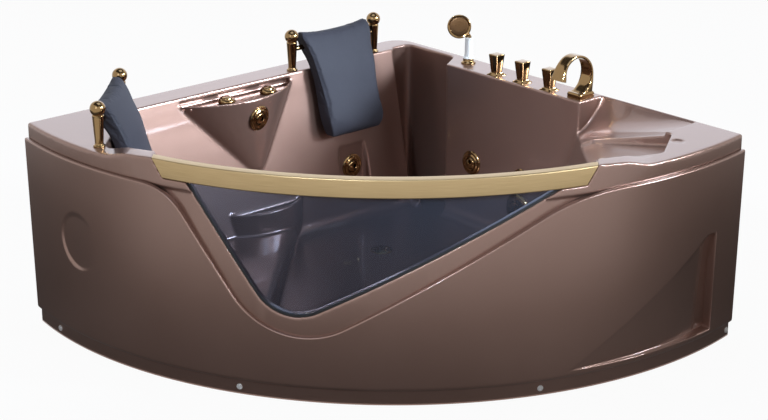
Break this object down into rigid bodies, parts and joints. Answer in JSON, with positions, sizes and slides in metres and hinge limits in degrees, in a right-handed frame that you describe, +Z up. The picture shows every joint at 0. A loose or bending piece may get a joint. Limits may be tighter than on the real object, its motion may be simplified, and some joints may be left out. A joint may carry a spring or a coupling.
{
  "type": "jetted bathtub",
  "caption": "Corner bath with a curved front apron, bent glass window under a rail, hinged head pads, deck taps, hand shower, jets and pump on a levelling frame.",
  "frame": {"origin": "on the floor under the middle of the plan's bounding square", "axes": "+Z up, +X to the wall behind the taps, +Y to the wall behind the console; the curved front faces -X and -Y"},
  "size_m": [1.5199, 1.5199, 0.7947],
  "materials": {
    "coffee_acrylic": "metallic coffee-brown gloss",
    "tinted_glass": "bent grey tinted safety glass",
    "seal_rubber": "matt black extruded strip",
    "brushed_gold": "brushed champagne gold",
    "polished_gold": "polished gold plate",
    "pillow_cover": "slate grey moulded skin, fine grain",
    "white_cap": "white",
    "pale_grip": "pale cream",
    "spray_face": "dark bronze",
    "pipe_pvc": "plain white pipe",
    "black_plastic": "black moulded",
    "zinc_steel": "galvanised",
    "motor_paint": "cast, plain",
    "foot_rubber": "matt black"
  },
  "bodies": {
    "tub": {"bath_shell": "coffee_acrylic", "front_apron": "coffee_acrylic", "window_glass": "tinted_glass", "window_seal": "seal_rubber", "top_rail": "brushed_gold", "apron_screws": "zinc_steel", "screw_caps": "white_cap", "apron_brackets": "zinc_steel", "pillow_posts": "polished_gold", "pillow_rods": "polished_gold", "tap_escutcheons": "polished_gold", "tap_valves": "polished_gold", "spout": "polished_gold", "spout_tail": "polished_gold", "shower_holder": "polished_gold", "air_switch_bezel": "polished_gold", "air_regulator_bezel": "polished_gold", "jet_bezels": "polished_gold", "jet_bodies": "pipe_pvc", "jet_nuts": "pipe_pvc", "pressure_manifold": "pipe_pvc", "drain_flange": "polished_gold", "waste_trap": "pipe_pvc", "waste_outlet": "pipe_pvc", "overflow_plate": "polished_gold", "overflow_pipe": "pipe_pvc", "suction_cover": "polished_gold", "suction_body": "pipe_pvc", "suction_pipe": "pipe_pvc", "pump_volute": "black_plastic", "pump_motor": "motor_paint", "pump_base": "black_plastic", "control_box": "black_plastic", "frame_rails": "zinc_steel", "frame_cross": "zinc_steel", "frame_uprights": "zinc_steel", "foot_pads": "foot_rubber", "foot_studs": "zinc_steel", "foot_nuts": "zinc_steel"},
    "left_pad": {"pillow_left": "pillow_cover"},
    "back_pad": {"pillow_back": "pillow_cover"},
    "hot_tap": {"hot_handle": "polished_gold"},
    "cold_tap": {"cold_handle": "polished_gold"},
    "diverter": {"diverter_handle": "polished_gold"},
    "hand_shower": {"shower_handle": "pale_grip", "shower_head": "polished_gold", "shower_face": "spray_face"},
    "air_switch": {"air_switch_button": "polished_gold"},
    "air_regulator": {"air_regulator_knob": "polished_gold"},
    "nozzle_1": {"jet_nozzle_1": "polished_gold"},
    "nozzle_2": {"jet_nozzle_2": "polished_gold"},
    "nozzle_3": {"jet_nozzle_3": "polished_gold"},
    "nozzle_4": {"jet_nozzle_4": "polished_gold"},
    "plug": {"drain_plug": "polished_gold"},
    "drain_dial": {"overflow_knob": "polished_gold"},
    "pump_rotor": {"pump_shaft": "zinc_steel", "pump_impeller": "black_plastic"}
  },
  "joints": [
    {"name": "left_pad_hinge", "type": "hinge", "parent": "tub", "child": "left_pad", "pos_m": [-0.57612, 0.545, 0.707], "axis": [-0.7071, -0.7071, 0], "range_deg": [0, 100]},
    {"name": "back_pad_hinge", "type": "hinge", "parent": "tub", "child": "back_pad", "pos_m": [0.3975, 0.68, 0.707], "axis": [-1, 0, 0], "range_deg": [0, 100]},
    {"name": "hot_tap_turn", "type": "hinge", "parent": "tub", "child": "hot_tap", "pos_m": [0.676, 0.203, 0.66], "axis": [0, 0, 1], "range_deg": [0, 90]},
    {"name": "cold_tap_turn", "type": "hinge", "parent": "tub", "child": "cold_tap", "pos_m": [0.676, -0.03, 0.66], "axis": [0, 0, 1], "range_deg": [-90, 0]},
    {"name": "diverter_turn", "type": "hinge", "parent": "tub", "child": "diverter", "pos_m": [0.676, 0.088, 0.66], "axis": [0, 0, 1], "range_deg": [0, 180]},
    {"name": "shower_lift", "type": "slide", "parent": "tub", "child": "hand_shower", "axis": [0, 0, 1], "range_m": [0, 0.1]},
    {"name": "air_switch_press", "type": "slide", "parent": "tub", "child": "air_switch", "axis": [0, 0, -1], "range_m": [0, 0.004], "stiffness_N_per_m": 400},
    {"name": "air_regulator_turn", "type": "hinge", "parent": "tub", "child": "air_regulator", "pos_m": [0.084, 0.632, 0.61], "axis": [0, 0, 1], "range_deg": [0, 180]},
    {"name": "nozzle_1_turn", "type": "hinge", "parent": "tub", "child": "nozzle_1", "pos_m": [0, 0.574, 0.545], "axis": [0.1305, -0.9841, -0.1205], "range_deg": [0, 90]},
    {"name": "nozzle_2_turn", "type": "hinge", "parent": "tub", "child": "nozzle_2", "pos_m": [0.414, 0.61, 0.288], "axis": [0, -1, 0], "range_deg": [0, 90]},
    {"name": "nozzle_3_turn", "type": "hinge", "parent": "tub", "child": "nozzle_3", "pos_m": [0.645, 0.279, 0.328], "axis": [-1, 0, 0], "range_deg": [0, 90]},
    {"name": "nozzle_4_turn", "type": "hinge", "parent": "tub", "child": "nozzle_4", "pos_m": [0.645, 0.05, 0.322], "axis": [-1, 0, 0], "range_deg": [0, 90]},
    {"name": "drain_dial_turn", "type": "hinge", "parent": "tub", "child": "drain_dial", "pos_m": [0.3618, -0.44666, 0.48], "axis": [-0.6851, 0.6851, 0.2474], "range_deg": [0, 90]},
    {"name": "plug_lift", "type": "slide", "parent": "tub", "child": "plug", "axis": [0, 0, 1], "range_m": [0, 0.008]},
    {"name": "pump_spin", "type": "hinge", "parent": "tub", "child": "pump_rotor", "pos_m": [0.676, -0.32, 0.2], "axis": [0, -1, 0], "continuous": true}
  ],
  "couplings": [
    {"joint": "plug_lift", "follows": "drain_dial_turn", "m_per_rad": 0.005093}
  ]
}
